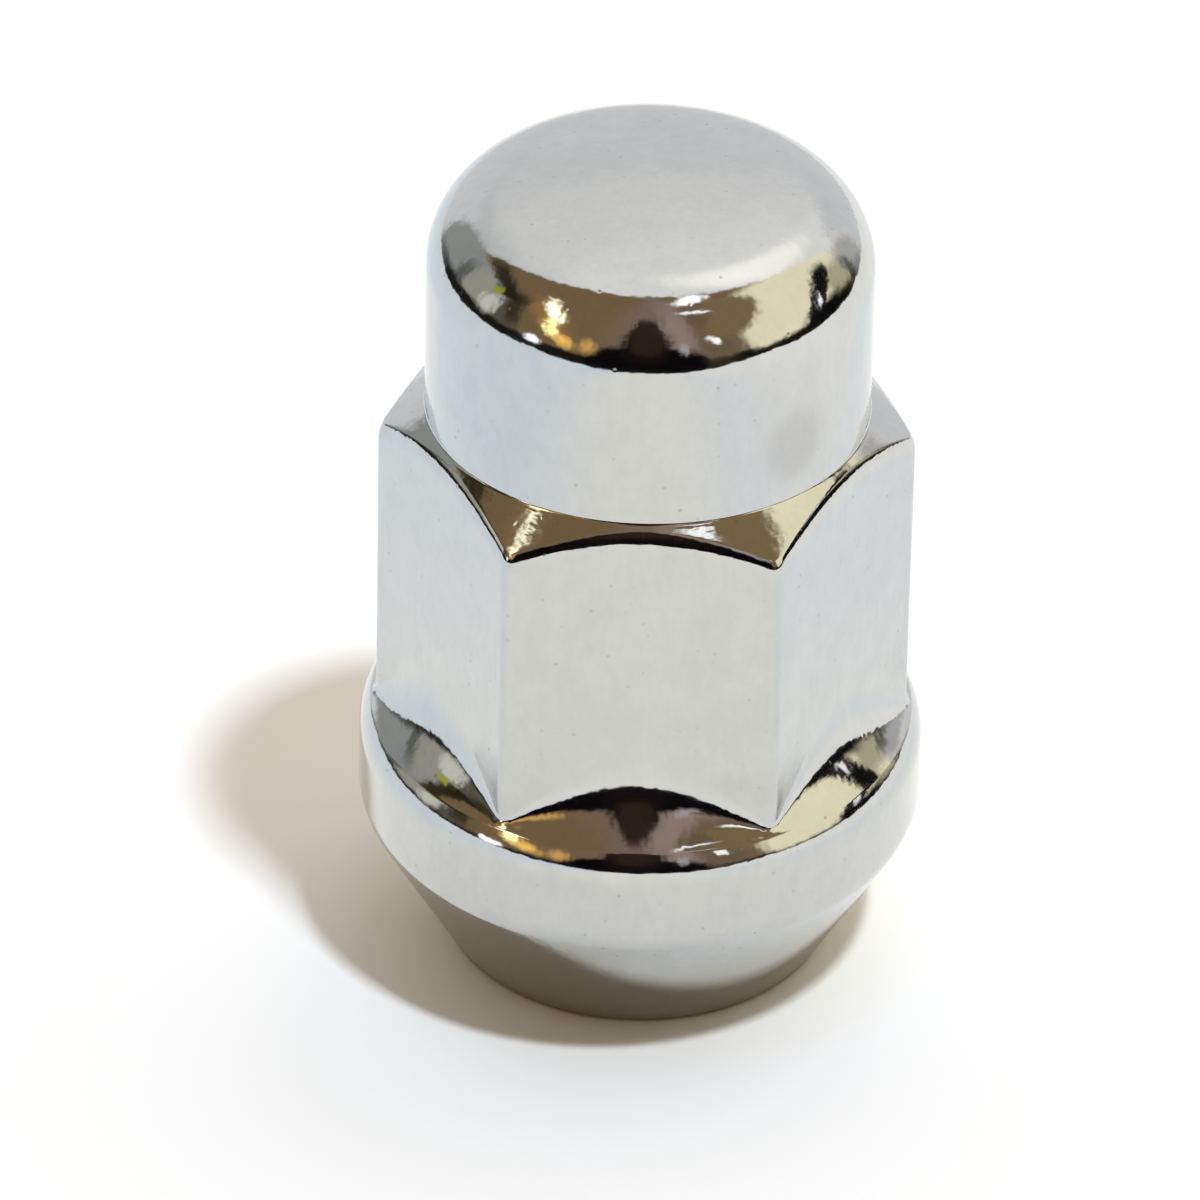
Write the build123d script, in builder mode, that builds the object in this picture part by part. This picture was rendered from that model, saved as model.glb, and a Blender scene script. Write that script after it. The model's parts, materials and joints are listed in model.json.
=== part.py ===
from build123d import *
import os
from math import acos, cos, degrees, radians, sin, sqrt, tan

# A closed-end wheel nut, forged, tapped and plated in one piece. It stands on its open end: the
# origin is the centre of that face, on the thread's axis, and +Z runs up to the crown.
# Lengths are in millimetres and angles in degrees.

# Thread and bore. The bore is cut at the thread's minor diameter.
thread_diameter = 12.0       # M12
thread_pitch = 1.5
mouth_clearance = 0.6        # the mouth's countersink, beyond the thread's own diameter
mouth_slope = 45.0           # slope of the countersink, from level
drill_point_angle = 118.0    # included angle of the bore's blind end
crown_wall = 5.0             # metal left between the blind end and the top of the crown

# Foot and conical seat
foot_land = 1.5              # flat ring round the thread's mouth
foot_bevel = 0.3             # breaks the outer edge of the foot
seat_angle = 60.0            # included angle of the seat
seam_round = 2.0             # between the seat and the collar

# Collar, whose convex top carries the flats' run-outs
collar_lip = 0.68            # how far the collar stands out past the hexagon's corners
collar_band = 2.9            # upright band of the collar
collar_round = 2.5           # convex top of the collar
runout_round = 2.0           # hollow between the flats and the collar's top

# Wrench hexagon
across_flats = 19.0
corner_round = 0.6           # the six upright edges
flat_height = 11.8           # middle of a flat, from its run-out to the chamfer
chamfer_slope = 40.0         # slope of the hexagon's turned top, from level

# Cap
cap_inset = 0.4              # how far the cap's side lies inside the flats
cap_height = 10.5            # from the chamfer to the top of the crown
shoulder_round = 3.5
crown_rise = 1.0             # bulge of the crown across the full width of the cap


def polar(radius, angle):
    """The section's point at this radius and angle: X is outwards and Y is upwards."""
    return Vector(radius * cos(radians(angle)), radius * sin(radians(angle)))


# Radii that follow from those sizes
apothem = across_flats / 2
corner_loss = corner_round * (1 / cos(radians(30)) - 1)
corner_radius = apothem / cos(radians(30)) - corner_loss
collar_radius = corner_radius + collar_lip
cap_radius = apothem - cap_inset
thread_depth = thread_pitch * sqrt(3) / 2 * 5 / 8
minor_radius = thread_diameter / 2 - thread_depth
mouth_radius = (thread_diameter + mouth_clearance) / 2
foot_radius = mouth_radius + foot_land

# The seat rises from the foot until it is as wide as the collar
seam_height = (collar_radius - foot_radius) / tan(radians(seat_angle / 2))
band_top = seam_height + collar_band
collar_centre = Vector(collar_radius - collar_round, band_top)
collar_top = collar_centre + polar(collar_round, 90)

# A ball of the run-out's radius that touches a flat and the collar's convex top gives the height
# where the middle of that flat begins to run out
ball_offset = apothem + runout_round - collar_centre.X
flat_foot = band_top + sqrt((runout_round + collar_round) ** 2 - ball_offset**2)

# The turned cone on top of the hexagon, from the widest radius up to its apex inside the cap
flat_top = flat_foot + flat_height
mid_flat = (flat_foot + flat_top) / 2
chamfer_rise = tan(radians(chamfer_slope))
chamfer_base = flat_top - (collar_radius - apothem) * chamfer_rise
chamfer_apex = flat_top + apothem * chamfer_rise
cap_foot = flat_top + cap_inset * chamfer_rise
crown_top = cap_foot + cap_height

# The crown is a shallow dome, and the shoulder's round is tangent to it and to the cap's side
crown_radius = (cap_radius**2 + crown_rise**2) / (2 * crown_rise)
crown_centre = Vector(0, crown_top - crown_radius)
shoulder_reach = cap_radius - shoulder_round
crown_angle = degrees(acos(shoulder_reach / (crown_radius - shoulder_round)))
shoulder_centre = crown_centre + polar(crown_radius - shoulder_round, crown_angle)
crown_edge = crown_centre + polar(crown_radius, crown_angle)

# The blind bore
bore_end = crown_top - crown_wall
bore_shoulder = bore_end - minor_radius / tan(radians(drill_point_angle / 2))
mouth_depth = (mouth_radius - minor_radius) * tan(radians(mouth_slope))

with BuildPart() as lug_nut:
    # The wrench hexagon, with its top turned to a blunt cone
    with BuildSketch(Plane.XY.offset(seam_height)) as hexagon:
        RegularPolygon(radius=apothem, side_count=6, major_radius=False)
        fillet(hexagon.vertices(), corner_round)
    extrude(amount=crown_top - seam_height)
    with BuildSketch(Plane.YZ):
        Polygon(
            (0, 0),
            (collar_radius, 0),
            (collar_radius, chamfer_base),
            (0, chamfer_apex),
            align=None,
        )
    revolve(axis=Axis.Z, mode=Mode.INTERSECT)

    # The seat and the collar
    with BuildSketch(Plane.YZ) as collar_section:
        with BuildLine():
            Polyline((0, 0), (foot_radius, 0), (collar_radius, seam_height), (collar_radius, band_top))
            ThreePointArc(
                (collar_radius, band_top), collar_centre + polar(collar_round, 45), collar_top
            )
            Polyline(collar_top, (0, collar_top.Y), (0, 0))
        make_face()
        seam = collar_section.vertices().sort_by_distance((collar_radius, seam_height))[0]
        fillet(seam, seam_round)
        foot = collar_section.vertices().sort_by_distance((foot_radius, 0))[0]
        chamfer(foot, foot_bevel)
    revolve(axis=Axis.Z)

    # The cap, with its rounded shoulder and shallow crown
    with BuildSketch(Plane.YZ):
        with BuildLine():
            Polyline((0, mid_flat), (cap_radius, mid_flat), (cap_radius, shoulder_centre.Y))
            ThreePointArc(
                (cap_radius, shoulder_centre.Y),
                shoulder_centre + polar(shoulder_round, crown_angle / 2),
                crown_edge,
            )
            ThreePointArc(
                crown_edge,
                crown_centre + polar(crown_radius, (crown_angle + 90) / 2),
                (0, crown_top),
            )
            Line((0, crown_top), (0, mid_flat))
        make_face()
    revolve(axis=Axis.Z)

    # The flats run out into the collar
    outlines = lug_nut.edges().filter_by_position(Axis.Z, seam_height, mid_flat)
    outlines = outlines.filter_by(GeomType.LINE, reverse=True)
    fillet(outlines.filter_by(GeomType.CIRCLE, reverse=True), runout_round)

    # The blind bore, with its countersunk mouth and the drill's cone at its end
    with BuildSketch(Plane.YZ):
        Polygon(
            (0, 0),
            (mouth_radius, 0),
            (minor_radius, mouth_depth),
            (minor_radius, bore_shoulder),
            (0, bore_end),
            align=None,
        )
    revolve(axis=Axis.Z, mode=Mode.SUBTRACT)

lug_nut.part.label = "lug_nut"
os.makedirs("parts", exist_ok=True)
export_step(lug_nut.part, "parts/lug_nut.step")
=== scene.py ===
"""Acorn lug nut: the finished look of a closed-end, chrome-plated wheel nut on a pale floor.

One mesh stands for the CAD solid. It has the same form, with the turns of the thread cut in the
bore, a chamfer that rolls softly into the flats, and run-outs that meet the collar in a tight
turned edge. All lengths are in metres, in the frame of the CAD model, and angles are in radians
unless a name says degrees.
"""
import json
from math import acos, atan2, cos, hypot, pi, radians, sin, sqrt, tan

import bpy
from bpy.props import FloatProperty, FloatVectorProperty, PointerProperty
from mathutils import Matrix, Vector


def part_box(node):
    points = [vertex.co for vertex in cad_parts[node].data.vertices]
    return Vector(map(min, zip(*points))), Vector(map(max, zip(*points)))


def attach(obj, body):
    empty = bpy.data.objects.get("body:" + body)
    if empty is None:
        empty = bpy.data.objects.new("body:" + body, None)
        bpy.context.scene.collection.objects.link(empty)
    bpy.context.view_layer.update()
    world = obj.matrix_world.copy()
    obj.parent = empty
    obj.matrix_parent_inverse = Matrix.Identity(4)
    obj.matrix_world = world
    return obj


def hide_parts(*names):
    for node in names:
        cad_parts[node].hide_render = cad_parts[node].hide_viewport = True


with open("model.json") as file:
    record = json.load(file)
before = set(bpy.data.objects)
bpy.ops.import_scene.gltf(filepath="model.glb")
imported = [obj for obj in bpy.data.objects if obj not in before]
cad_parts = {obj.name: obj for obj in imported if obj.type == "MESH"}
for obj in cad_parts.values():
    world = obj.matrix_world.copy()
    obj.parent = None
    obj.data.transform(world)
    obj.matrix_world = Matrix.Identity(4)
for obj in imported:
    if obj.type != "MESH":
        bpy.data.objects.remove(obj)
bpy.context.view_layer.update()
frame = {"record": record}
LOW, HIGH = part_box("lug_nut")
THREAD = next(m for m in frame["record"]["mounts"] if m["name"] == "thread")["dims"]
MM = 0.001
HEIGHT = HIGH.z - LOW.z
COLLAR = (HIGH.x - LOW.x) / 2
FOOT = 7.8 * MM
SEAM = (COLLAR - FOOT) / tan(radians(30))
BORE_END = HEIGHT - 5 * MM
BORE_SHOULDER = BORE_END - THREAD["r_mm"] * MM / tan(radians(59))
SMUDGE_PLACE = (6.0 * MM, -6.75 * MM, 28.0 * MM)

bl_info = {
    "name": "Acorn lug nut",
    "version": (1, 0, 0),
    "blender": (4, 5, 0),
    "location": "3D Viewport > Sidebar > Lug nut",
    "description": "Builds a chrome-plated closed-end wheel nut and the stage that it stands on",
    "category": "Object",
}


def length(name, description, default):
    return FloatProperty(name=name, description=description, default=default, min=0.0,
                         precision=5, subtype="DISTANCE", unit="LENGTH")


def angle(name, description, degrees):
    return FloatProperty(name=name, description=description, default=radians(degrees),
                         subtype="ANGLE", unit="ROTATION")


def share(name, description, default):
    return FloatProperty(name=name, description=description, default=default,
                         min=0.0, max=1.0, subtype="FACTOR")


def number(name, description, default):
    return FloatProperty(name=name, description=description, default=default)


def colour(name, description, default):
    return FloatVectorProperty(name=name, description=description, default=default,
                               size=3, min=0.0, max=4.0, subtype="COLOR")


class NutSizes(bpy.types.PropertyGroup):
    """The lengths and angles that shape the nut."""

    height: length("Height", "From the foot to the top of the crown", HEIGHT)
    collar_radius: length("Collar radius", "Outside of the collar's band", COLLAR)
    across_flats: length("Across flats", "Size of the wrench hexagon", 19 * MM)
    corner_round: length("Corner round", "Radius of the hexagon's upright edges", 0.6 * MM)
    flat_top: length("Flat top", "Height at which the chamfer meets the middle of a flat",
                     24.98 * MM)
    chamfer: angle("Chamfer", "Slope of the chamfer above the flats", 40)
    rim_soft: length("Rim softness", "Radius with which a flat starts to roll over", 1.5 * MM)
    rim_turn: angle("Rim turn", "How far that radius turns the flat over", 29)
    rim_crisp: length("Rim crispness", "Radius with which the roll ends in the chamfer",
                      0.25 * MM)
    cap_radius: length("Cap radius", "Radius of the round cap", 9.03 * MM)
    cap_foot_round: length("Cap foot round", "Hollow between the chamfer and the cap", 0.15 * MM)
    shoulder_round: length("Shoulder round", "Radius of the cap's shoulder", 3.5 * MM)
    crown_rise: length("Crown rise", "How far the crown bows up over the cap's width", 1.0 * MM)
    band_top: length("Band top", "Height at which the collar's upright band ends",
                     SEAM + 2.85 * MM)
    collar_round: length("Collar round", "Radius of the collar's turned top", 2.5 * MM)
    crest_round: length("Crest round", "Tighter radius where the collar's top meets a run-out",
                        0.3 * MM)
    crest_turn: angle("Crest turn", "Slope at which the tighter radius takes over", 33)
    run_mid: length("Run-out radius", "Hollow between flat and collar in a flat's middle",
                    4.5 * MM)
    run_end: length("Run-out end radius", "The same hollow at a corner", 0.6 * MM)
    run_bow: number("Run-out bow", "How straight the hollow's radius falls towards a corner", 2.3)
    seam_height: length("Seam height", "Height at which the seat's cone meets the band", SEAM)
    seam_round: length("Seam round", "Radius between the seat and the band", 2.0 * MM)
    seat_half_angle: angle("Seat half angle", "Half of the seat's cone", 30)
    foot_radius: length("Foot radius", "Outside of the foot, before its round", FOOT)
    foot_round: length("Foot round", "Radius at the foot", 0.3 * MM)
    mouth_radius: length("Mouth radius", "Countersunk mouth of the bore", 6.3 * MM)
    bore_radius: length("Bore radius", "Crest of the thread", THREAD["r_mm"] * MM)
    thread_radius: length("Thread radius", "Root of the thread", 6.0 * MM)
    thread_pitch: length("Thread pitch", "Rise of one turn", 1.5 * MM)
    bore_shoulder: length("Bore shoulder", "Height at which the drill's cone starts",
                          BORE_SHOULDER)
    bore_end: length("Bore end", "Height of the drill's point", BORE_END)


class NutFinish(bpy.types.PropertyGroup):
    """The plated steel outside and the duller thread inside."""

    plate: colour("Plate", "Colour of the chrome plate", (0.645, 0.645, 0.615))
    plate_dull: colour("Dull plate", "Colour of hazed patches on the plate", (0.56, 0.565, 0.55))
    pit: colour("Pits", "Colour of the small pits in the plate", (0.30, 0.28, 0.26))
    thread: colour("Thread", "Colour of the tapped steel", (0.42, 0.41, 0.40))
    thread_dull: colour("Dull thread", "Colour of the oil film on the thread",
                        (0.24, 0.22, 0.20))
    polish: share("Polish", "Roughness of the plate", 0.045)
    haze: share("Haze", "Roughness added by the hazed patches", 0.04)
    thread_roughness: share("Thread roughness", "Roughness of the tapped steel", 0.32)
    ripple: length("Ripple", "Height of the plate's fine waves", 0.006 * MM)
    grain: length("Grain", "Size of the speckle in the plate", 0.18 * MM)
    smudge: FloatVectorProperty(name="Smudge", description="Where the cap's side is dulled",
                                default=SMUDGE_PLACE, size=3, subtype="TRANSLATION",
                                unit="LENGTH", precision=5)


class NutStage(bpy.types.PropertyGroup):
    """The floor, the light, what the metal mirrors, and the camera."""

    floor: colour("Floor", "Colour of the pale floor", (0.95, 0.95, 0.95))
    floor_seen: colour("Floor as seen", "Colour of the floor to the camera", (0.98, 0.98, 0.98))
    # Painted reflection tints: colours that the floor shows only to mirrored rays, so the plate
    # mirrors a cooler floor at the sides, a warmer one in the middle and a lighter one at the far
    # right.
    floor_cool: colour("Floor tint", "Tint that the metal mirrors from the floor's sides",
                       (0.83, 0.898, 0.99))
    floor_warm: colour("Floor's warm middle", "Tint that the metal mirrors from the middle",
                       (0.96, 0.965, 0.955))
    floor_right: colour("Floor's right", "Tint that the metal mirrors from the far right",
                        (0.97, 0.98, 0.99))
    # Painted shadow: a darker, browner floor beside the foot that only mirrored rays see, so the
    # seat mirrors a deeper contact shadow.
    mirrored_foot_shade: colour("Floor's mirrored foot", "Tint that the seat mirrors beside the foot",
                        (0.74, 0.695, 0.625))
    # Painted shade: the floor shows a darker, warmer tone close to the foot.
    seen_foot_shade: colour("Floor at the foot", "Colour of the floor close to the foot",
                             (0.975, 0.95, 0.88))
    floor_half_width: length("Floor half width", "Half of the floor plate's width", 0.19)
    floor_front: length("Floor front", "Reach of the floor plate towards the camera", 0.142)
    floor_back: length("Floor back", "Reach of the floor plate away from the camera", 0.32)
    floor_corner: length("Floor corner", "Round of the floor plate's corners", 0.03)
    fill: colour("Fill", "Light of the room from the back and above", (1.64, 1.51, 1.32))
    fill_front: colour("Front fill", "Light of the room from the camera's side",
                       (0.28, 0.21, 0.14))
    key: colour("Key", "Colour of the soft key light", (0.74, 0.83, 0.95))
    key_power: number("Key power", "Power of the key light in watts", 61.0)
    key_size: length("Key size", "Side of the square key light", 0.24)
    key_distance: length("Key distance", "From the nut to the key light", 3.0)
    key_azimuth: angle("Key azimuth", "Turn of the key light to the right of the camera", 46)
    key_elevation: angle("Key elevation", "Height of the key light above the horizon", 68)
    lens: number("Lens", "Focal length of the camera in millimetres", 368.3)
    distance: length("Camera distance", "From the camera to the nut's axis", 0.5)
    lift: angle("Camera lift", "Height of the camera above the horizon", 34.06)
    turn: angle("Camera turn", "Turn of the camera about the nut", 0.31)
    roll: angle("Camera roll", "Lean of the camera", 1.30)
    aim_height: length("Aim height", "Height on the nut's axis that the camera is set by",
                       18.15 * MM)
    aim_right: number("Aim right", "How far right of the axis the camera looks, in metres",
                      -1.805 * MM)
    aim_up: number("Aim up", "How far above that height the camera looks, in metres",
                   -2.117 * MM)


# ---------------------------------------------------------------- the nut's mesh

FLAT_STEPS = 40          # columns along one flat
CORNER_STEPS = 8         # columns round one upright edge
CROWN_ROWS, SHOULDER_ROWS, SIDE_ROWS, CAP_FOOT_ROWS = 20, 28, 8, 8
CHAMFER_ROWS, RIM_ROWS, WALL_ROWS, RUN_ROWS = 6, 20, 6, 24
CREST_ROWS, COLLAR_ROWS, BAND_ROWS, SEAM_ROWS, SEAT_ROWS, FOOT_ROWS = 12, 16, 4, 10, 8, 6
BORE_STEP = 3            # outer columns for each column of the bore
HOLD = 0.15 * MM         # narrow strips that keep the flats plain beside their rounds
EDGE_HOLD = 0.05 * MM
SAME = 1e-7              # heights this near are one
SHARP = radians(32)      # edges that turn more than this are shaded sharp


def arc(centre, radius, start, end, steps):
    """Points of an arc after its first one."""
    return [(centre[0] + radius * cos(start + (end - start) * i / steps),
             centre[1] + radius * sin(start + (end - start) * i / steps))
            for i in range(1, steps + 1)]


def line(start, end, steps):
    """Points of a line after its first one."""
    return [(start[0] + (end[0] - start[0]) * i / steps,
             start[1] + (end[1] - start[1]) * i / steps) for i in range(1, steps + 1)]


def hexagon(s):
    """Columns round the hexagon: point, outward normal and run-out radius."""
    columns = []
    apothem = s.across_flats / 2
    half = (apothem - s.corner_round) * tan(pi / 6)
    corner_reach = (apothem - s.corner_round) / cos(pi / 6)
    for side in range(6):
        face = -pi / 2 + side * pi / 3
        normal, along = (cos(face), sin(face)), (-sin(face), cos(face))
        places = [-half, -half + EDGE_HOLD]
        for i in range(1, FLAT_STEPS):
            u = -1 + 2 * i / FLAT_STEPS
            places.append((half - EDGE_HOLD) * (0.6 * u + 0.4 * sin(u * pi / 2)))
        places += [half - EDGE_HOLD, half]
        for x in places:
            fade = ((sqrt(1 + (s.run_bow * x / half) ** 2) - 1) / (sqrt(1 + s.run_bow ** 2) - 1))
            columns.append(((apothem * normal[0] + x * along[0],
                             apothem * normal[1] + x * along[1]), normal,
                            s.run_mid + (s.run_end - s.run_mid) * fade))
        corner = (corner_reach * cos(face + pi / 6), corner_reach * sin(face + pi / 6))
        for i in range(1, CORNER_STEPS):
            b = face + pi / 3 * i / CORNER_STEPS
            normal = (cos(b), sin(b))
            columns.append(((corner[0] + s.corner_round * normal[0],
                             corner[1] + s.corner_round * normal[1]), normal, s.run_end))
    return columns


def cap_section(s):
    """Crown and shoulder as (radius, height), and the height at which the cap's side starts."""
    crown = (s.cap_radius ** 2 + s.crown_rise ** 2) / (2 * s.crown_rise)
    centre = s.height - crown
    reach = s.cap_radius - s.shoulder_round
    meet = acos(reach / (crown - s.shoulder_round))
    shoulder = (reach, centre + (crown - s.shoulder_round) * sin(meet))
    points = arc((0.0, centre), crown, pi / 2, meet, CROWN_ROWS)
    points += arc(shoulder, s.shoulder_round, meet, 0.0, SHOULDER_ROWS)
    return points, shoulder[1]


class Rim:
    """The chamfer in one upright plane: a flat that rolls over softly, then crisply, into a
    straight slope."""

    def __init__(self, s, reach):
        self.slope, self.bend, self.turn = s.chamfer, s.rim_turn, pi / 2 - s.chamfer
        self.soft, self.crisp = s.rim_soft, s.rim_crisp
        self.soft_way = self.soft * self.bend
        self.roll = self.soft_way + self.crisp * (self.turn - self.bend)
        self.reach, self.start = 0.0, 0.0
        back, rise, _ = self.at(self.roll)
        self.reach = reach
        self.start = s.flat_top - rise - tan(s.chamfer) * (reach + back - s.across_flats / 2)

    def at(self, way):
        """Radius, height and normal's turn after this length of the section."""
        n = min(way, self.soft_way) / self.soft
        back, rise = self.soft * (1 - cos(n)), self.soft * sin(n)
        if way > self.soft_way:
            n += (min(way, self.roll) - self.soft_way) / self.crisp
            back += self.crisp * (cos(self.bend) - cos(n))
            rise += self.crisp * (sin(n) - sin(self.bend))
        rest = max(0.0, way - self.roll)
        return (self.reach - back - rest * cos(self.slope),
                self.start + rise + rest * sin(self.slope), n)


def rim_section(s, reach, side_top):
    """Cap side, cap foot, chamfer and roll as (radius, height), down to the flat."""
    rim, f = Rim(s, reach), s.cap_foot_round
    low, high = 0.0, s.cap_radius
    for _ in range(50):
        way = (low + high) / 2
        radius, height, n = rim.at(way)
        if radius + f * cos(n) > s.cap_radius + f:
            low = way
        else:
            high = way
    radius, height, n = rim.at(way)
    foot = (radius + f * cos(n), height + f * sin(n))
    points = line((s.cap_radius, side_top), (s.cap_radius, foot[1]), SIDE_ROWS)
    points += arc(foot, f, pi, pi + n, CAP_FOOT_ROWS)
    bend = min(rim.roll, 0.8 * way)
    points += [rim.at(way + (bend - way) * i / CHAMFER_ROWS)[:2]
               for i in range(1, CHAMFER_ROWS + 1)]
    points += [rim.at(bend * (1 - i / RIM_ROWS))[:2] for i in range(1, RIM_ROWS + 1)]
    return points, rim.start


def collar_section(s, tip, start):
    """From the crest down over the collar, the seat and the foot, as (radius, height)."""
    top = (s.collar_radius - s.collar_round, s.band_top)
    points = arc(tip, s.crest_round, start, s.crest_turn, CREST_ROWS)
    points += arc(top, s.collar_round, s.crest_turn, 0.0, COLLAR_ROWS)
    seam_top = s.seam_height + s.seam_round * tan(s.seat_half_angle / 2)
    points += line((s.collar_radius, s.band_top), (s.collar_radius, seam_top), BAND_ROWS)
    points += arc((s.collar_radius - s.seam_round, seam_top), s.seam_round,
                  0.0, -s.seat_half_angle, SEAM_ROWS)
    foot = (s.foot_radius - s.foot_round * tan(s.seat_half_angle), s.foot_round)
    seat_end = (foot[0] + s.foot_round * cos(s.seat_half_angle),
                foot[1] - s.foot_round * sin(s.seat_half_angle))
    points += line(points[-1], seat_end, SEAT_ROWS)
    points += arc(foot, s.foot_round, -s.seat_half_angle, -pi / 2, FOOT_ROWS)
    return points


def column(s, cap, side_top, point, normal, run):
    """One column of the outside, from the crown to the foot, and the direction of its foot."""
    reach = hypot(*point)
    section, flat_top = rim_section(s, reach, side_top)
    out = [(r * point[0] / reach, r * point[1] / reach, z) for r, z in cap + section]
    # A ball of radius run rolls between the flat and the crest of the collar.
    ball = (point[0] + normal[0] * run, point[1] + normal[1] * run)
    ball_reach = hypot(*ball)
    inner = s.collar_round - s.crest_round
    tip = (s.collar_radius - s.collar_round + inner * cos(s.crest_turn),
           s.band_top + inner * sin(s.crest_turn))
    gap = run + s.crest_round
    ball_height = tip[1] + sqrt(gap ** 2 - (ball_reach - tip[0]) ** 2)
    span = flat_top - ball_height - 2 * HOLD
    heights = [flat_top - HOLD - span * i / WALL_ROWS for i in range(WALL_ROWS + 1)]
    out += [(point[0], point[1], z) for z in heights + [ball_height]]
    foot = (ball[0] / ball_reach, ball[1] / ball_reach)
    start = (-normal[0], -normal[1], 0.0)
    lean = (tip[0] - ball_reach) / gap
    end = (lean * foot[0], lean * foot[1], (tip[1] - ball_height) / gap)
    whole = acos(max(-1.0, min(1.0, sum(a * b for a, b in zip(start, end)))))
    for i in range(1, RUN_ROWS + 1):
        a = sin((1 - i / RUN_ROWS) * whole) / sin(whole)
        b = sin(i / RUN_ROWS * whole) / sin(whole)
        out.append((ball[0] + run * (a * start[0] + b * end[0]),
                    ball[1] + run * (a * start[1] + b * end[1]),
                    ball_height + run * (a * start[2] + b * end[2])))
    meet = atan2(ball_height - tip[1], ball_reach - tip[0])
    out += [(r * foot[0], r * foot[1], z) for r, z in collar_section(s, tip, meet)]
    return out, foot


class Bore:
    """The inside: countersunk mouth, turns of the thread, plain end and the drill's cone."""

    def __init__(self, s, verts, faces, ways):
        self.s, self.verts, self.faces, self.ways = s, verts, faces, ways

    def ring(self, radius, height):
        first = len(self.verts)
        self.verts += [(radius * x, radius * y, height) for x, y in self.ways]
        return first

    def band(self, upper, lower):
        count = len(self.ways)
        for i in range(count):
            j = (i + 1) % count
            self.faces.append((upper + i, lower + i, lower + j, upper + j))

    def build(self, mouth):
        s = self.s
        low_height = s.mouth_radius - s.thread_radius
        high_height = s.bore_shoulder - 2 * s.thread_pitch
        low = self.ring(s.thread_radius, low_height)
        self.band(mouth, low)
        high = self.ring(s.bore_radius, high_height)
        self.thread(low, low_height, high, high_height)
        cone = s.bore_end - s.bore_shoulder
        for radius, height in ((1.0, -0.1 * MM), (1.0, 0.0), (0.98, 0.02 * cone),
                               (0.5, 0.5 * cone), (0.1, 0.9 * cone)):
            following = self.ring(s.bore_radius * radius, s.bore_shoulder + height)
            self.band(high, following)
            high = following
        self.verts.append((0.0, 0.0, s.bore_end))
        point, count = len(self.verts) - 1, len(self.ways)
        self.faces += [(high + i, point, high + (i + 1) % count) for i in range(count)]

    def thread(self, low, low_height, high, high_height):
        """One strip of turns between the two rings, its ends run out into them."""
        s, pitch = self.s, self.s.thread_pitch
        flank = (s.thread_radius - s.bore_radius) * tan(pi / 6)
        root = pitch / 8
        crest = pitch - 2 * flank - root
        middle = (s.bore_radius + s.thread_radius) / 2
        form = [(0.0, s.bore_radius), (crest / 2, s.bore_radius), (crest, s.bore_radius),
                (crest + flank / 2, middle), (crest + flank, s.thread_radius),
                (crest + flank + root / 2, s.thread_radius),
                (crest + flank + root, s.thread_radius),
                (crest + flank * 1.5 + root, middle)]
        turns = int((high_height - low_height) / pitch) + 3
        around = [atan2(y, x) % (2 * pi) for x, y in self.ways]
        order = sorted(range(len(self.ways)), key=lambda i: around[i])
        made = {}

        def vertex(place, mark):
            if (place, mark) in made:
                return made[place, mark]
            i = order[place]
            turn, step = divmod(mark, len(form))
            rise, radius = form[step]
            z = low_height + pitch * (turn - 1 + around[i] / (2 * pi)) + rise
            if z <= low_height + SAME:
                found = low + i
            elif z >= high_height - SAME:
                found = high + i
            else:
                fade = min(1.0, (high_height - z) / (1.5 * pitch))
                radius = s.bore_radius + (radius - s.bore_radius) * fade
                radius = max(radius, s.mouth_radius - z)
                x, y = self.ways[i]
                self.verts.append((radius * x, radius * y, z))
                found = len(self.verts) - 1
            made[place, mark] = found
            return found

        for place in range(len(order)):
            last = place == len(order) - 1
            beside, shift = (0, len(form)) if last else (place + 1, 0)
            for mark in range(-1, turns * len(form)):
                corners = [vertex(place, mark), vertex(place, mark + 1),
                           vertex(beside, mark + 1 + shift), vertex(beside, mark + shift)]
                corners = list(dict.fromkeys(corners))
                if len(corners) > 2:
                    self.faces.append(tuple(corners))


def nut_mesh(s):
    """The closed surface of the nut, and the number of faces on its outside."""
    cap, side_top = cap_section(s)
    columns = [column(s, cap, side_top, *c) for c in hexagon(s)]
    count, rows = len(columns), len(columns[0][0])
    verts, faces = [(0.0, 0.0, s.height)], []
    for points, _ in columns:
        verts += points

    def at(c, row):
        return 1 + (c % count) * rows + row

    for c in range(count):
        faces.append((0, at(c, 0), at(c + 1, 0)))
        faces += [(at(c, row), at(c, row + 1), at(c + 1, row + 1), at(c + 1, row))
                  for row in range(rows - 1)]
    ways = [columns[c][1] for c in range(0, count, BORE_STEP)]
    bore = Bore(s, verts, faces, ways)
    mouth = bore.ring(s.mouth_radius, 0.0)
    for i in range(len(ways)):
        outer = [at(BORE_STEP * i + j, rows - 1) for j in range(BORE_STEP + 1)]
        a, b = mouth + i, mouth + (i + 1) % len(ways)
        faces += [(outer[0], a, outer[1]), (outer[1], a, b, outer[2]), (outer[2], b, outer[3])]
    outside = len(faces)
    bore.build(mouth)
    return verts, faces, outside


# ---------------------------------------------------------------- node helpers

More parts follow.
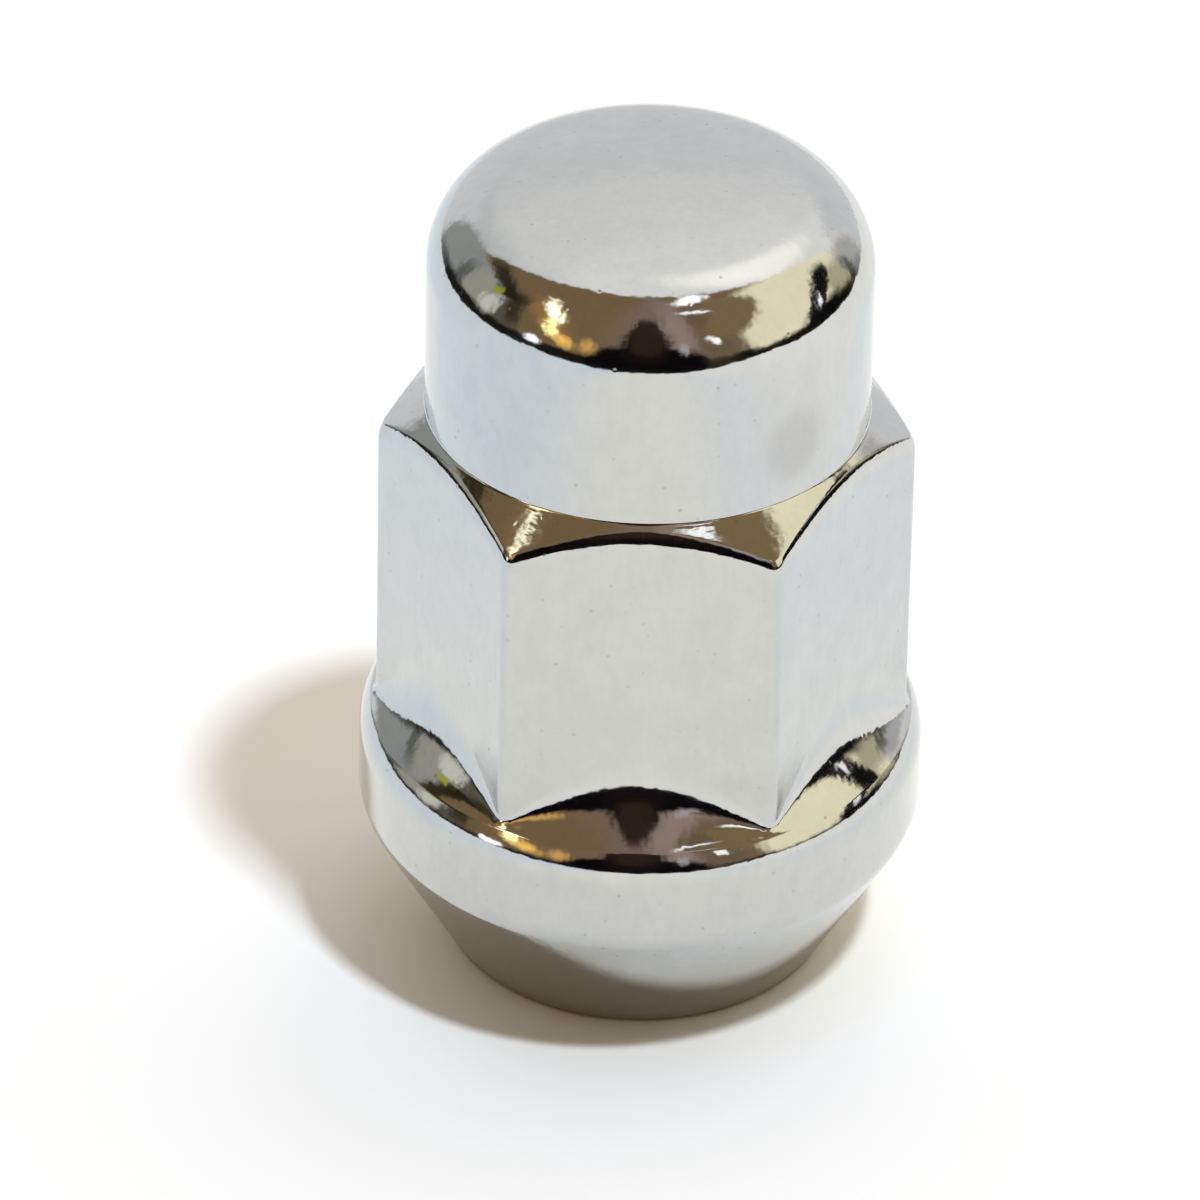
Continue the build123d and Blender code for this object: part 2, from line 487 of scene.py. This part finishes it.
class Tree:
    """Short ways to add and join shader nodes."""

    def __init__(self, tree):
        self.nodes, self.links = tree.nodes, tree.links

    def feed(self, socket, value):
        if isinstance(value, bpy.types.NodeSocket):
            self.links.new(value, socket)
        elif socket.type == "RGBA":
            socket.default_value = (*value[:3], 1.0)
        else:
            socket.default_value = value

    def add(self, kind, settings=None, **inputs):
        node = self.nodes.new(kind)
        for key, value in (settings or {}).items():
            setattr(node, key, value)
        for key, value in inputs.items():
            self.feed(node.inputs[int(key[1:]) if key[1:].isdigit() else
                                  key.replace("_", " ")], value)
        return node

    def math(self, operation, a, b=0.0, c=0.0, clamp=False):
        node = self.add("ShaderNodeMath", {"operation": operation, "use_clamp": clamp},
                        _0=a, _1=b, _2=c)
        return node.outputs[0]

    def ramp(self, value, start, end, low=0.0, high=1.0):
        """A smooth step of value from start to end."""
        node = self.add("ShaderNodeMapRange", {"interpolation_type": "SMOOTHSTEP"},
                        Value=value, From_Min=start, From_Max=end, To_Min=low, To_Max=high)
        return node.outputs["Result"]

    def mix(self, factor, a, b):
        node = self.add("ShaderNodeMix", {"data_type": "RGBA"})
        self.feed(node.inputs[0], factor)
        self.feed(node.inputs[6], a)
        self.feed(node.inputs[7], b)
        return node.outputs[2]

    def noise(self, vector, scale, detail=2.0, roughness=0.5):
        return self.add("ShaderNodeTexNoise", Vector=vector, Scale=scale, Detail=detail,
                        Roughness=roughness)


def new_group(name, inputs, outputs):
    """A shader node group with named sockets, given as (name, kind, default)."""
    group = bpy.data.node_groups.new(name, "ShaderNodeTree")
    for label, kind, default in inputs:
        socket = group.interface.new_socket(name=label, in_out="INPUT", socket_type=kind)
        if default is not None:
            socket.default_value = default
    for label, kind in outputs:
        group.interface.new_socket(name=label, in_out="OUTPUT", socket_type=kind)
    tree = Tree(group)
    return group, tree, tree.add("NodeGroupInput").outputs, tree.add("NodeGroupOutput").inputs


# ---------------------------------------------------------------- the finish

CLOUD_SCALE, WAVE_SCALE = 600.0, 1900.0      # noise per metre
SMUDGE_EDGE = (3.0 * MM, 1.6 * MM)           # from the smudge's middle: outer and inner edge
SMUDGE_FRAY = 1.8 * MM                       # how far the clouds push that edge about
# Each pair is where a mark starts and where it is full, as a height or a reach from the axis.
NOOK_FOOT, NOOK_TOP = (10.9 * MM, 11.2 * MM), (15.5 * MM, 13.0 * MM)
NOOK_REACH = (9.8 * MM, 10.3 * MM)
NOOK_HAZE = 0.2                              # roughness added between two run-outs
RINGS_FOOT, RINGS_REACH = (23.6 * MM, 24.4 * MM), (9.08 * MM, 9.2 * MM)
RINGS_SCALE, RINGS_AROUND, RINGS_HEIGHT = 2400.0, 2.6 * MM, 1.2


def surface_marks():
    """Shared effect: clouds, upright streaks, speckle, faint pits and fine waves of a metal."""
    group, t, given, out = new_group("surface_marks", [
        ("Grain", "NodeSocketFloat", 0.22 * MM),
        ("Pit Share", "NodeSocketFloat", 0.5),
    ], [("Clouds", "NodeSocketFloat"), ("Streaks", "NodeSocketFloat"),
        ("Speckle", "NodeSocketFloat"), ("Pits", "NodeSocketFloat"), ("Waves", "NodeSocketFloat")])
    place = t.add("ShaderNodeTexCoord").outputs["Object"]
    fine = t.math("DIVIDE", 1.0, given["Grain"])
    upright = t.add("ShaderNodeMapping", Vector=place, Scale=(1.0, 1.0, 0.4)).outputs[0]
    t.links.new(t.noise(place, CLOUD_SCALE, 4.0, 0.65).outputs["Fac"], out["Clouds"])
    t.links.new(t.noise(upright, t.math("MULTIPLY", fine, 0.45), 3.0, 0.65).outputs["Fac"],
                out["Streaks"])
    t.links.new(t.noise(place, fine, 3.0, 0.6).outputs["Fac"], out["Speckle"])
    cells = t.add("ShaderNodeTexVoronoi", Vector=place, Scale=t.math("MULTIPLY", fine, 0.26))
    chance = t.add("ShaderNodeSeparateColor", Color=cells.outputs["Color"]).outputs
    small = t.ramp(cells.outputs["Distance"], 0.16, 0.04)
    depth = t.math("SUBTRACT", given["Pit Share"], chance[0], clamp=True)
    t.links.new(t.math("MULTIPLY", small, depth), out["Pits"])
    t.links.new(t.noise(place, WAVE_SCALE, 1.0, 0.5).outputs["Fac"], out["Waves"])
    return group


def finish_material(name, marks, look):
    """Metal whose colour, roughness and bump follow the shared surface marks."""
    material = bpy.data.materials.new(name)
    material.use_nodes = True
    material.node_tree.nodes.clear()
    t = Tree(material.node_tree)
    group = t.add("ShaderNodeGroup", {"node_tree": marks}, Grain=look["grain"],
                  Pit_Share=look["pits"])
    clouds, streaks, speckle, pits, waves = (group.outputs[k] for k in
                                             ("Clouds", "Streaks", "Speckle", "Pits", "Waves"))
    tone = t.math("MULTIPLY_ADD", clouds, 1.3, t.math("MULTIPLY_ADD", streaks, 0.9, -0.6))
    tone = t.math("MULTIPLY_ADD", speckle, look["speckle"],
                  t.math("SUBTRACT", tone, look["speckle"] / 2), clamp=True)
    if look["smudge"]:
        place = t.add("ShaderNodeTexCoord").outputs["Object"]
        far = t.add("ShaderNodeVectorMath", {"operation": "DISTANCE"}, _0=place,
                    _1=look["smudge"]).outputs["Value"]
        far = t.math("MULTIPLY_ADD", clouds, SMUDGE_FRAY, far)
        pits = t.math("MAXIMUM", pits, t.ramp(far, *SMUDGE_EDGE, 0.0, 0.3))
    tint = t.mix(tone, look["bright"], look["dull"])
    tint = t.mix(t.math("MULTIPLY", pits, 0.9), tint, look["pit"])
    rough = t.math("MULTIPLY_ADD", tone, look["haze"], look["roughness"])
    rough = t.math("MULTIPLY_ADD", pits, 0.3, rough, clamp=True)
    if look["smudge"]:
        # The flats are hazed where two run-outs meet; rolled edges are a little wavy, and the
        # chamfer keeps rings from turning.
        upright = t.add("ShaderNodeSeparateXYZ",
                        _0=t.add("ShaderNodeTexCoord").outputs["Normal"]).outputs[2]
        x, y, z = t.add("ShaderNodeSeparateXYZ", _0=place).outputs
        reach = t.math("SQRT", t.math("ADD", t.math("MULTIPLY", x, x), t.math("MULTIPLY", y, y)))
        nook = t.math("MULTIPLY", t.ramp(upright, 0.10, 0.02), t.ramp(z, *NOOK_TOP))
        nook = t.math("MULTIPLY", nook, t.ramp(reach, *NOOK_REACH))
        nook = t.math("MULTIPLY", nook, t.ramp(z, *NOOK_FOOT))
        rough = t.math("MULTIPLY_ADD", nook, NOOK_HAZE, rough)
        turned = t.math("MULTIPLY", t.ramp(z, *RINGS_FOOT), t.ramp(reach, *RINGS_REACH))
        around = t.math("MULTIPLY", t.math("ARCTAN2", x, y), RINGS_AROUND)
        ring = t.add("ShaderNodeCombineXYZ", _0=reach, _1=z, _2=around).outputs[0]
        rings = t.noise(ring, RINGS_SCALE, 2.0, 0.6).outputs["Fac"]
        curved = t.math("MULTIPLY", t.ramp(upright, 0.1, 0.3), t.ramp(upright, 0.97, 0.9))
        waves = t.math("MULTIPLY", waves, t.math("MULTIPLY_ADD", curved, 0.5, 1.0))
        waves = t.math("MULTIPLY_ADD", t.math("MULTIPLY", rings, turned), RINGS_HEIGHT, waves)
    height = t.math("MULTIPLY_ADD", speckle, look["speckle"] * 0.4,
                    t.math("SUBTRACT", waves, pits))
    bump = t.add("ShaderNodeBump", Strength=1.0, Distance=look["bump"], Height=height)
    shader = t.add("ShaderNodeBsdfPrincipled", Base_Color=tint, Metallic=1.0,
                   Roughness=rough, Normal=bump.outputs[0])
    t.links.new(shader.outputs[0], t.add("ShaderNodeOutputMaterial").inputs["Surface"])
    return material


# ---------------------------------------------------------------- what the metal mirrors

# The room as the polished metal sees it: soft-edged cards in direction space. Azimuth 0 is where
# the camera stands and + is to its right; sizes are half widths, all in degrees. Each row: name,
# (azimuth, elevation), (half width, half height), colour as the metal shows it (0 to 255), and
# then any of gain, turn, bend, soft edge and roundness of the outline.
CARDS = (
    ("mauve_wall", (18, 40), (9, 34), (134, 117, 108), {"soft": 0.7}),
    ("brown_wall", (35, 38), (9, 36), (98, 82, 62), {"soft": 0.6}),
    ("cream_wall", (88, 24), (39, 40), (217, 211, 181), {"soft": 0.1, "round": 2.6}),
    ("wall_corner", (58, 50), (30, 14), (114, 96, 68), {"turn": 44, "soft": 0.2}),
    ("right_grey", (127, 0), (9, 22), (156, 156, 155), {"soft": 0.3, "round": 3}),
    ("wall_end", (113, 8), (8, 17), (160, 156, 130), {"soft": 0.35, "round": 3}),
    ("wall_edge", (123, 0), (2.6, 14), (84, 82, 72), {"soft": 0.6, "round": 3}),
    ("left_wall", (-107, 7), (31, 27), (128, 131, 127), {"soft": 0.1, "round": 4}),
    ("left_wall_near", (-97, 10), (12, 24), (140, 137, 127), {"soft": 0.4}),
    ("left_wall_shade", (-79, 12), (9, 20), (78, 76, 64), {"soft": 0.6}),
    ("left_post", (-112, 6), (3.2, 17), (84, 87, 82), {"soft": 0.6, "round": 3}),
    ("low_edge_left", (-88, -9), (44, 9.5), (24, 22, 19), {"soft": 0.3}),
    ("low_edge_right", (84, -9), (44, 9), (20, 17, 14), {"soft": 0.3}),
    ("lamp_foot", (97, -3), (13, 9), (12, 11, 11), {"soft": 0.4}),
    ("lamp_arm", (98, 15), (6, 26), (14, 12, 12),
     {"turn": -38, "bend": 0.7, "soft": 0.2, "round": 4}),
    ("arm_light", (96, 12), (1.6, 6.5), (240, 240, 240), {"turn": -20, "soft": 0.5, "round": 2}),
    ("high_window", (64, 77), (28, 3.5), (255, 255, 255),
     {"gain": 1.3, "soft": 0.5, "turn": 2}),
    ("dark_flag_low", (-1, -3), (30, 24), (9, 7, 9), {"soft": 0.12, "round": 2.2}),
    ("dark_flag_mid", (-1, 20), (12, 22), (18, 13, 14), {"soft": 0.25}),
    ("dark_flag_high", (-1, 34), (8.5, 23), (42, 30, 25), {"soft": 0.3, "round": 3}),
    ("window_glint", (36.5, 62.7), (11, 1.6), (255, 255, 255), {"soft": 0.5, "turn": -9}),
    ("slit", (18, 17), (1.7, 7), (152, 146, 146), {"soft": 0.6, "round": 2}),
    ("lamp_glow", (-58, 34), (8, 20), (140, 104, 60), {"turn": 40, "soft": 0.8, "round": 2}),
    ("lamp_top", (-71, 53.2), (4.5, 1.3), (255, 248, 215), {"soft": 0.5, "round": 2}),
    ("lamp", (-60, 42), (4.6, 12.5), (255, 248, 205),
     {"gain": 1.8, "turn": 48, "soft": 0.35, "round": 2.5}),
    ("lamp_stem", (-52, 24), (3.6, 11), (255, 232, 160),
     {"gain": 1.5, "turn": 14, "soft": 0.5, "round": 2}),
    ("lamp_spill", (-43, 13), (4.5, 7), (240, 190, 100), {"turn": 25, "soft": 0.7, "round": 2}),
    ("lamp_far", (-30, 14), (3.5, 8), (196, 154, 88), {"soft": 0.8, "round": 2}),
    ("low_window", (-58, 2), (4.8, 4.5), (255, 250, 255),
     {"gain": 1.2, "soft": 0.35, "round": 2}),
    ("right_spot", (34, 24), (1.8, 6), (255, 255, 250), {"turn": 15, "soft": 0.5, "round": 2}),
    ("left_beam", (-98, 38), (19, 5), (44, 41, 28), {"turn": -14, "soft": 0.5}),
    ("left_frame", (-75, 22), (4.5, 16), (52, 46, 32), {"turn": 12, "soft": 0.6}),
    ("left_pane", (-88, 11), (5, 12), (182, 182, 172), {"turn": -6, "soft": 0.4, "round": 2}),
    ("left_leaf_dark", (-86, 32), (8, 6), (34, 32, 20), {"soft": 0.5, "round": 2}),
    ("left_leaf", (-90.5, 26), (2.6, 4.4), (140, 146, 40), {"soft": 0.6, "round": 2}),
)
ROOM, MIDDLE, UNDERSIDE, FAR_WALL = (106, 88, 62), (112, 96, 86), (18, 15, 15), (185, 187, 188)
CEILING_DARK, CEILING, CEILING_GLOW = (165, 168, 169), (207, 207, 204), (240, 239, 231)
GLOW_WAY = (0.33, 0.43, 0.84)                # direction of the ceiling's lightest place
RIPPLES = ((9.0, 3.0), (34.0, 4.5))          # noise scale and degrees by which it bends outlines


def seen_light(shown, plate, gain=1.0):
    """The light that a surface of this plate colour must mirror to show a colour (0 to 255)."""
    linear = [(c / 255 / 12.92) if c <= 10 else ((c / 255 + 0.055) / 1.055) ** 2.4 for c in shown]
    return tuple(gain * x / p for x, p in zip(linear, plate))


def card_group():
    """Mask of one soft-edged card in direction space."""
    group, t, given, out = new_group("mirrored_card", [
        ("Direction", "NodeSocketVector", None), ("Centre", "NodeSocketVector", None),
        ("Turn", "NodeSocketVector", None), ("Half Size", "NodeSocketVector", None),
        ("Bend", "NodeSocketFloat", 0.0), ("Soft", "NodeSocketFloat", 0.15),
        ("Round", "NodeSocketFloat", 4.0),
    ], [("Mask", "NodeSocketFloat")])
    local = t.add("ShaderNodeMapping", {"vector_type": "TEXTURE"}, Vector=given["Direction"],
                  Location=given["Centre"], Rotation=given["Turn"], Scale=given["Half Size"])
    parts = t.add("ShaderNodeSeparateXYZ", _0=local.outputs[0]).outputs
    u = t.math("SUBTRACT", parts[0],
               t.math("MULTIPLY", given["Bend"], t.math("MULTIPLY", parts[1], parts[1])))
    far = t.math("ADD", t.math("POWER", t.math("ABSOLUTE", u), given["Round"]),
                 t.math("POWER", t.math("ABSOLUTE", parts[1]), given["Round"]))
    far = t.math("POWER", far, t.math("DIVIDE", 1.0, given["Round"]))
    t.links.new(t.ramp(far, t.math("SUBTRACT", 1.0, given["Soft"]),
                       t.math("ADD", 1.0, given["Soft"]), 1.0, 0.0), out["Mask"])
    return group


def mirrored_room(t, plate):
    """Colour of the room in the direction that a mirrored ray takes."""
    way = t.add("ShaderNodeTexCoord").outputs["Generated"]
    x, y, z = t.add("ShaderNodeSeparateXYZ", _0=way).outputs
    azimuth = t.math("DEGREES", t.math("ARCTAN2", x, t.math("MULTIPLY", y, -1.0)))
    elevation = t.math("DEGREES", t.math("ARCSINE", z))
    angles = t.add("ShaderNodeCombineXYZ", _0=azimuth, _1=elevation).outputs[0]
    for scale, reach in RIPPLES:
        ripple = t.noise(way, scale, 2.0, 0.6).outputs["Color"]
        shift = t.add("ShaderNodeVectorMath", {"operation": "MULTIPLY_ADD"}, _0=ripple,
                      _1=(reach, reach, 0.0), _2=(-reach / 2, -reach / 2, 0.0)).outputs[0]
        angles = t.add("ShaderNodeVectorMath", {"operation": "ADD"},
                       _0=angles, _1=shift).outputs[0]
    azimuth, elevation, _ = t.add("ShaderNodeSeparateXYZ", _0=angles).outputs
    aside = t.math("ABSOLUTE", azimuth)
    middle = t.math("MULTIPLY", t.ramp(azimuth, -35.0, 0.0), t.ramp(azimuth, 60.0, 25.0))
    sky = t.mix(middle, seen_light(ROOM, plate), seen_light(MIDDLE, plate))
    # The ceiling is cool and dim at the back left and lighter overhead and to the right.
    lean = t.math("MULTIPLY", t.math("MULTIPLY_ADD", x, 0.7, z), 1.22, clamp=True)
    ceiling = t.mix(lean, seen_light(CEILING_DARK, plate), seen_light(CEILING, plate))
    glow = t.add("ShaderNodeVectorMath", {"operation": "DOT_PRODUCT"}, _0=way,
                 _1=GLOW_WAY).outputs["Value"]
    ceiling = t.mix(t.ramp(glow, 0.93, 1.0), ceiling, seen_light(CEILING_GLOW, plate))
    behind = t.math("SUBTRACT", y, t.math("MULTIPLY", t.math("MULTIPLY", x, x), 0.85))
    overhead = t.math("MULTIPLY", t.ramp(behind, -0.035, 0.03), t.ramp(elevation, 8.0, 30.0))
    overhead = t.math("MAXIMUM", overhead, t.ramp(aside, 118.0, 142.0))
    far = t.math("MULTIPLY", t.ramp(aside, 134.0, 142.0), t.ramp(elevation, 34.0, 24.0))
    ceiling = t.mix(far, ceiling, seen_light(FAR_WALL, plate))
    sky = t.mix(overhead, sky, ceiling)
    under = t.math("MULTIPLY", t.ramp(elevation, 5.0, -1.0), t.ramp(aside, 132.0, 112.0))
    sky = t.mix(under, sky, seen_light(UNDERSIDE, plate))
    group = card_group()
    for name, centre, size, shown, more in CARDS:
        card = t.add("ShaderNodeGroup", {"node_tree": group, "name": name, "label": name},
                     Direction=angles, Centre=(*centre, 0.0), Half_Size=(*size, 1.0),
                     Turn=(0.0, 0.0, radians(more.get("turn", 0.0))),
                     Bend=more.get("bend", 0.0), Soft=more.get("soft", 0.15),
                     Round=more.get("round", 4.0))
        sky = t.mix(card.outputs["Mask"], sky, seen_light(shown, plate, more.get("gain", 1.0)))
    return sky


# ---------------------------------------------------------------- operators

# Each pair is where one of the floor's tints starts and where it is full, from the nut's axis. The
# tints at the sides and the far right are painted reflection tints, and the others are painted
# shade and painted shadow beside the foot.
FLOOR_SIDES, FLOOR_RIGHT = (12 * MM, 50 * MM), (28 * MM, 55 * MM)
FOOT_SHADE_REACH, FOOT_SHADE_SIDE = (13.5 * MM, 9 * MM), (5 * MM, -4 * MM)
FOOT_CONTACT_SHADE = (FOOT + 3.2 * MM, FOOT + 0.8 * MM)
FLOOR_SPECKLE = 0.985                        # the darkest speckle in the floor
CORNER_PARTS = 8                             # edges that round one corner of the floor


class OBJECT_OT_lug_nut_build(bpy.types.Operator):
    """Build the plated nut and its threaded bore as one closed mesh"""

    bl_idname = "lug_nut.build_nut"
    bl_label = "Build nut"

    def execute(self, context):
        scene = context.scene
        verts, faces, outside = nut_mesh(scene.nut_sizes)
        mesh = bpy.data.meshes.new("acorn_lug_nut")
        mesh.from_pydata(verts, [], faces)
        if mesh.validate():
            raise RuntimeError("the nut's mesh had faces that Blender could not keep")
        look, marks = scene.nut_finish, surface_marks()
        mesh.materials.append(finish_material("chrome_plate", marks, {
            "grain": look.grain, "pits": 0.6, "speckle": 0.3, "smudge": look.smudge,
            "bright": look.plate, "dull": look.plate_dull, "pit": look.pit,
            "roughness": look.polish, "haze": look.haze, "bump": look.ripple}))
        mesh.materials.append(finish_material("tapped_thread", marks, {
            "grain": look.grain * 1.6, "pits": 0.8, "speckle": 1.0, "smudge": None,
            "bright": look.thread, "dull": look.thread_dull, "pit": look.pit,
            "roughness": look.thread_roughness, "haze": 0.15, "bump": look.ripple}))
        inside = [0] * outside + [1] * (len(faces) - outside)
        mesh.polygons.foreach_set("material_index", inside)
        mesh.shade_smooth()
        mesh.set_sharp_from_angle(angle=SHARP)
        nut = bpy.data.objects.new("acorn_lug_nut", mesh)
        scene.collection.objects.link(nut)
        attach(nut, "root")
        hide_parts("lug_nut")
        return {"FINISHED"}


class OBJECT_OT_lug_nut_stage(bpy.types.Operator):
    """Build the floor, the soft light, the mirrored room and the camera"""

    bl_idname = "lug_nut.build_stage"
    bl_label = "Build stage"

    def execute(self, context):
        scene = context.scene
        stage = scene.nut_stage
        self.make_floor(scene, stage)
        self.make_light(scene, stage)
        look = scene.nut_finish
        self.make_world(scene, stage, [(a + b) / 2 for a, b in zip(look.plate, look.plate_dull)])
        self.make_camera(scene, stage)
        scene.view_settings.view_transform = "Standard"
        return {"FINISHED"}

    def make_floor(self, scene, stage):
        r = stage.floor_corner
        x, y0, y1 = stage.floor_half_width - r, -stage.floor_front + r, stage.floor_back - r
        corners = ((x, y1, 0.0), (-x, y1, pi / 2), (-x, y0, pi), (x, y0, 1.5 * pi))
        rim = []
        for middle_x, middle_y, start in corners:
            rim += [(middle_x + r * cos(start + pi / 2 * i / CORNER_PARTS),
                     middle_y + r * sin(start + pi / 2 * i / CORNER_PARTS), 0.0)
                    for i in range(CORNER_PARTS + 1)]
        mesh = bpy.data.meshes.new("floor")
        mesh.from_pydata(rim, [], [tuple(range(len(rim)))])
        material = bpy.data.materials.new("floor_card")
        material.use_nodes = True
        material.node_tree.nodes.clear()
        t = Tree(material.node_tree)
        place = t.add("ShaderNodeTexCoord").outputs["Object"]
        tone = t.mix(t.noise(place, 40.0, 4.0, 0.6).outputs["Fac"], stage.floor,
                     tuple(c * FLOOR_SPECKLE for c in stage.floor))
        across = t.add("ShaderNodeSeparateXYZ", _0=place).outputs[0]
        aside = t.math("ABSOLUTE", across)
        reach = t.add("ShaderNodeVectorMath", {"operation": "LENGTH"}, _0=place).outputs["Value"]
        # Mask of the painted shade beside the foot, full at the foot.
        close = t.ramp(reach, *FOOT_SHADE_REACH)
        path = t.add("ShaderNodeLightPath").outputs
        # Painted reflection: the floor's tint as mirrored rays see it, cooler at the sides and
        # lighter at the far right.
        mirrored = t.mix(t.ramp(aside, *FLOOR_SIDES), stage.floor_warm, stage.floor_cool)
        mirrored = t.mix(t.ramp(across, *FLOOR_RIGHT), mirrored, stage.floor_right)
        # Painted shadow that the metal mirrors: on the foot's left, where the nut's shadow falls,
        # and in a ring right at the foot.
        shaded = t.math("MULTIPLY", close, t.ramp(across, *FOOT_SHADE_SIDE))
        shaded = t.math("MAXIMUM", shaded, t.ramp(reach, *FOOT_CONTACT_SHADE))
        mirrored = t.mix(shaded, mirrored, stage.mirrored_foot_shade)
        # Painted shade on the floor close to the foot, as the camera sees it.
        seen = t.mix(close, stage.floor_seen, stage.seen_foot_shade)
        tone = t.mix(path["Is Glossy Ray"], tone, mirrored)
        tone = t.mix(path["Is Camera Ray"], tone, seen)
        shader = t.add("ShaderNodeBsdfDiffuse", Color=tone)
        t.links.new(shader.outputs[0], t.add("ShaderNodeOutputMaterial").inputs["Surface"])
        mesh.materials.append(material)
        floor = bpy.data.objects.new("floor", mesh)
        scene.collection.objects.link(floor)

    def make_light(self, scene, stage):
        lamp = bpy.data.lights.new("key_light", "AREA")
        lamp.shape, lamp.size = "SQUARE", stage.key_size
        lamp.energy, lamp.color = stage.key_power, stage.key
        key = bpy.data.objects.new("key_light", lamp)
        a, e = stage.key_azimuth, stage.key_elevation
        way = Vector((sin(a) * cos(e), -cos(a) * cos(e), sin(e)))
        key.location = way * stage.key_distance
        key.rotation_euler = way.to_track_quat("Z", "Y").to_euler()
        key.visible_glossy = False
        key.visible_camera = False
        scene.collection.objects.link(key)

    def make_world(self, scene, stage, plate):
        world = bpy.data.worlds.new("room")
        world.use_nodes = True
        world.node_tree.nodes.clear()
        world.cycles.sampling_method = "NONE"
        t = Tree(world.node_tree)
        path = t.add("ShaderNodeLightPath").outputs
        way = t.add("ShaderNodeTexCoord").outputs["Generated"]
        right, behind, above = t.add("ShaderNodeSeparateXYZ", _0=way).outputs
        fill = t.mix(t.ramp(behind, -0.15, 0.4), stage.fill_front, stage.fill)
        # The fill is dimmer near the horizon and from the left.
        dim = t.math("MAXIMUM", t.ramp(above, 0.1, 0.65, 0.8, 0.0),
                     t.ramp(right, 0.5, -0.9, 0.0, 0.45))
        fill = t.mix(dim, fill, (0.0, 0.0, 0.0))
        light = t.mix(path["Is Glossy Ray"], fill, mirrored_room(t, plate))
        light = t.mix(path["Is Camera Ray"], light, (1.0, 1.0, 1.0))
        background = t.add("ShaderNodeBackground", Color=light, Strength=1.0)
        t.links.new(background.outputs[0], t.add("ShaderNodeOutputWorld").inputs["Surface"])
        scene.world = world

    def make_camera(self, scene, stage):
        data = bpy.data.cameras.new("camera")
        data.lens, data.sensor_width = stage.lens, 36.0
        data.clip_start, data.clip_end = 0.01, 10.0
        camera = bpy.data.objects.new("camera", data)
        turn = Matrix.Rotation(stage.turn, 3, "Z")
        ahead = turn @ Vector((0.0, cos(stage.lift), -sin(stage.lift)))
        level = turn @ Vector((1.0, 0.0, 0.0))
        upright = level.cross(ahead)
        right = cos(stage.roll) * level + sin(stage.roll) * upright
        above = cos(stage.roll) * upright - sin(stage.roll) * level
        mark = Vector((0.0, 0.0, stage.aim_height))
        place = mark - ahead * stage.distance
        aim = mark + right * stage.aim_right + above * stage.aim_up
        back = (place - aim).normalized()
        side = above.cross(back).normalized()
        axes = Matrix((side, back.cross(side), back)).transposed()
        camera.matrix_world = Matrix.Translation(place) @ axes.to_4x4()
        scene.collection.objects.link(camera)
        scene.camera = camera


class VIEW3D_PT_lug_nut(bpy.types.Panel):
    """The nut's builders and sizes in the sidebar"""

    bl_idname = "VIEW3D_PT_lug_nut"
    bl_label = "Lug nut"
    bl_space_type = "VIEW_3D"
    bl_region_type = "UI"
    bl_category = "Lug nut"

    def draw(self, context):
        layout = self.layout
        for operator in OPERATORS:
            layout.operator(operator.bl_idname)
        for group in (context.scene.nut_sizes, context.scene.nut_finish,
                      context.scene.nut_stage):
            box = layout.box()
            for name in group.__annotations__:
                box.prop(group, name)


OPERATORS = (OBJECT_OT_lug_nut_build, OBJECT_OT_lug_nut_stage)
CLASSES = (NutSizes, NutFinish, NutStage, *OPERATORS, VIEW3D_PT_lug_nut)


def register():
    for cls in CLASSES:
        bpy.utils.register_class(cls)
    bpy.types.Scene.nut_sizes = PointerProperty(type=NutSizes)
    bpy.types.Scene.nut_finish = PointerProperty(type=NutFinish)
    bpy.types.Scene.nut_stage = PointerProperty(type=NutStage)


def unregister():
    del bpy.types.Scene.nut_stage
    del bpy.types.Scene.nut_finish
    del bpy.types.Scene.nut_sizes
    for cls in reversed(CLASSES):
        bpy.utils.unregister_class(cls)


def main():
    register()
    bpy.ops.lug_nut.build_nut()
    bpy.ops.lug_nut.build_stage()


if __name__ == "__main__":
    main()
